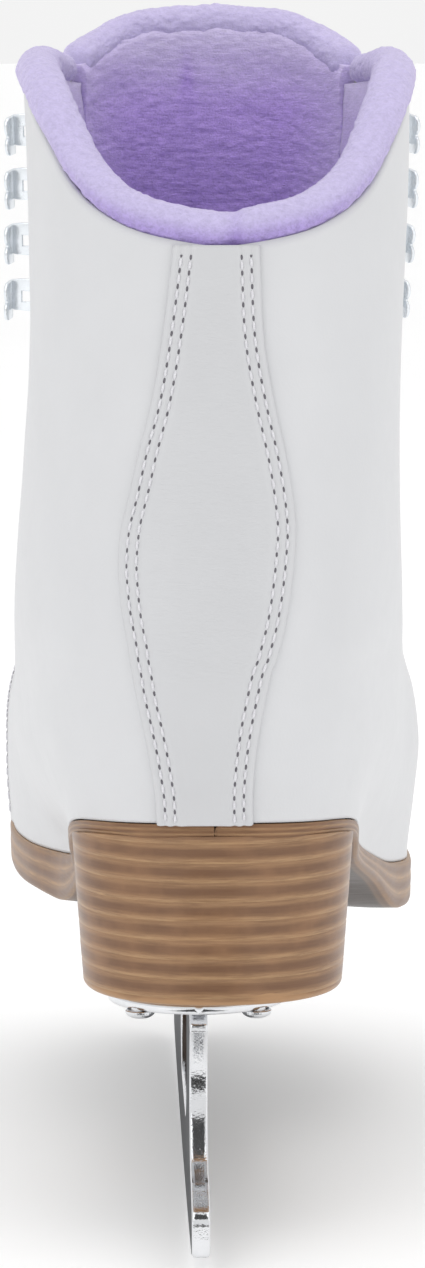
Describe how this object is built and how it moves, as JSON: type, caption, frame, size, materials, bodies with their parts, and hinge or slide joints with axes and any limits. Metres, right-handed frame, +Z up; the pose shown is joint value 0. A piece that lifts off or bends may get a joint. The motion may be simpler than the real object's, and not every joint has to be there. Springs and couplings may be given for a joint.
{
  "type": "figure skate",
  "caption": "Right figure skate: white leather boot with fur-lined collar and tongue, lace hooks, stacked heel and steel blade with toe pick.",
  "frame": {"origin": "where the rockered blade touches the ice, in the middle of its thickness", "axes": "+X towards the lateral (outer) side of this right boot, +Y towards the toe, +Z up from the ice"},
  "size_m": [0.0991, 0.269, 0.266],
  "materials": {
    "chrome": "polished plate",
    "screw_steel": "zinc plated",
    "spring_steel": "plain",
    "nickel": "pale nickel plate",
    "stacked_heel": "satin, layered",
    "sole_brown": "satin, layered edge",
    "cork": "matte",
    "fibreboard": "matte",
    "foam": "matte",
    "stiffener": "matte",
    "stay_leather": "matte",
    "white_leather": "satin, fine grain",
    "lavender_fur": "brushed pile"
  },
  "bodies": {
    "boot": {"blade": "chrome", "heel_plate": "chrome", "sole_plate": "chrome", "heel_plate_screws": "screw_steel", "sole_plate_screws": "screw_steel", "heel_block": "stacked_heel", "outsole": "sole_brown", "shank": "spring_steel", "bottom_filler": "cork", "insole_board": "fibreboard", "footbed": "foam", "vamp": "white_leather", "quarter_medial": "white_leather", "quarter_lateral": "white_leather", "backstay": "white_leather", "heel_counter": "stiffener", "toe_puff": "stiffener", "ankle_pad_medial": "foam", "ankle_pad_lateral": "foam", "facing_stay_medial": "stay_leather", "facing_stay_lateral": "stay_leather", "vamp_lining": "lavender_fur", "quarter_lining_medial": "lavender_fur", "quarter_lining_lateral": "lavender_fur", "collar_roll": "lavender_fur", "eyelets_medial": "nickel", "eyelets_lateral": "nickel", "hooks_medial": "nickel", "hooks_lateral": "nickel", "hook_rivets_medial": "nickel", "hook_rivets_lateral": "nickel"},
    "tongue": {"tongue_leather": "white_leather", "tongue_foam": "foam", "tongue_lining": "lavender_fur", "tongue_roll": "lavender_fur"}
  },
  "joints": [
    {"name": "tongue_hinge", "type": "hinge", "parent": "boot", "child": "tongue", "pos_m": [0.0048, 0.065, 0.1247], "axis": [-1, 0, 0], "range_deg": [0, 40], "stiffness_Nm_per_rad": 0.06}
  ]
}
